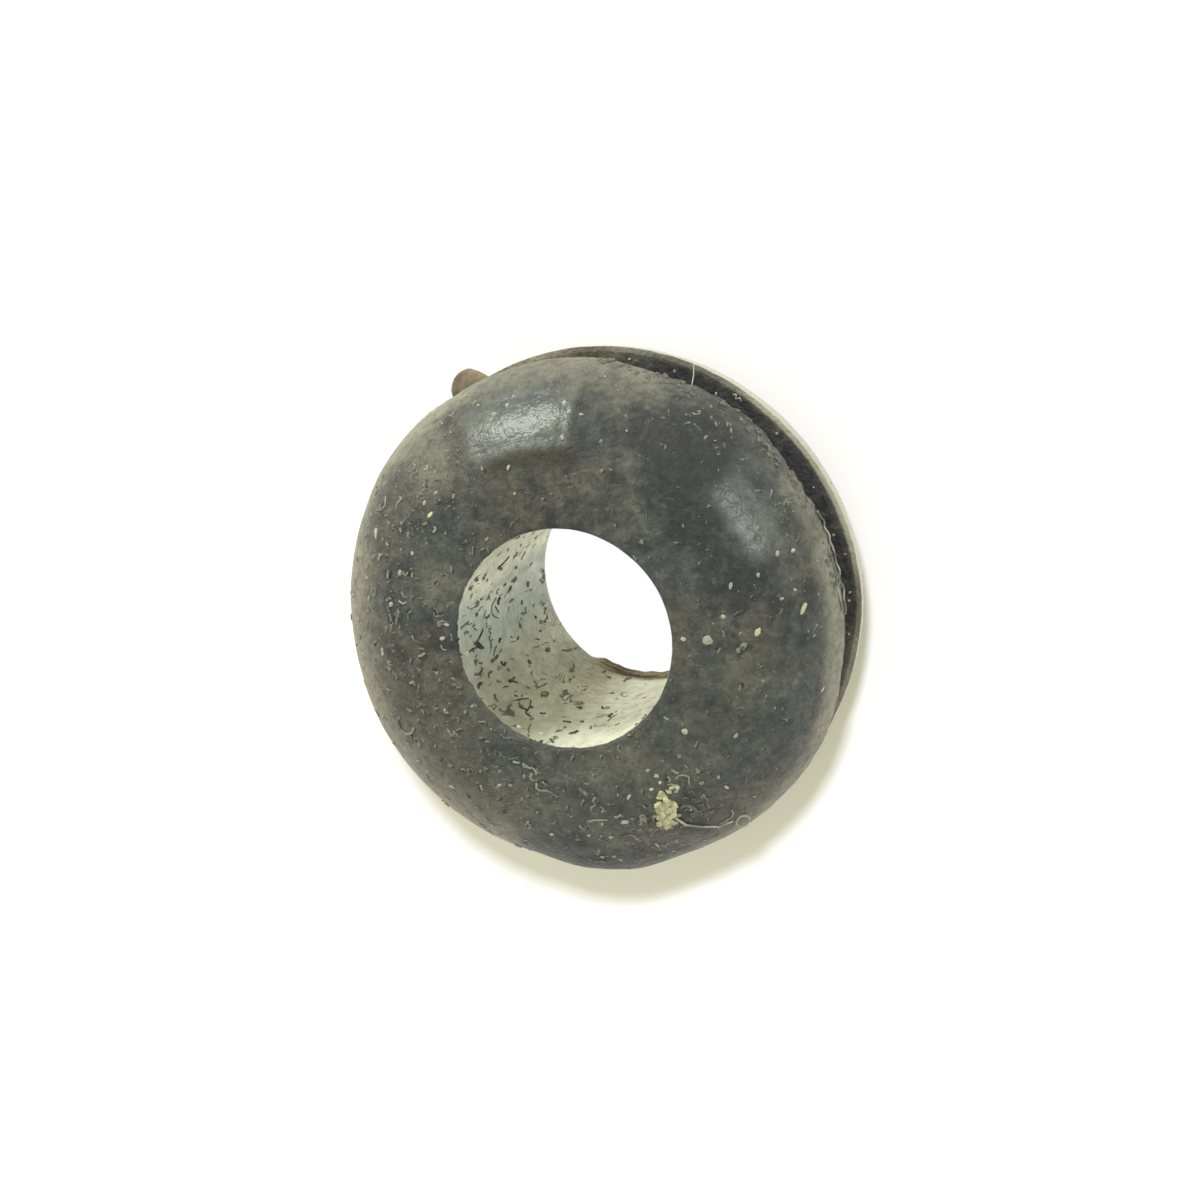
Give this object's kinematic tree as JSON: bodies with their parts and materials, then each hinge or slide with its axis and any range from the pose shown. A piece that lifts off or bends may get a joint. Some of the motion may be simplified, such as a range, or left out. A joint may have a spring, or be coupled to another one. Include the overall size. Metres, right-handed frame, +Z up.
{
  "type": "rubber grommet",
  "caption": "Round double-sided rubber grommet with two domed flanges, a groove between them for a panel's edge and a plain bore for a cable.",
  "frame": {"origin": "centre of the bore at the flat face of the flange that the grommet lies on", "axes": "+Z up along the bore, from the lower flange to the upper flange; +X and +Y across the flanges"},
  "size_m": [0.0142, 0.0142, 0.0076],
  "materials": {
    "moulded_rubber": "aged moulded rubber, dull satin with a dusty bloom"
  },
  "bodies": {
    "root": {"grommet": "moulded_rubber"}
  },
  "joints": []
}
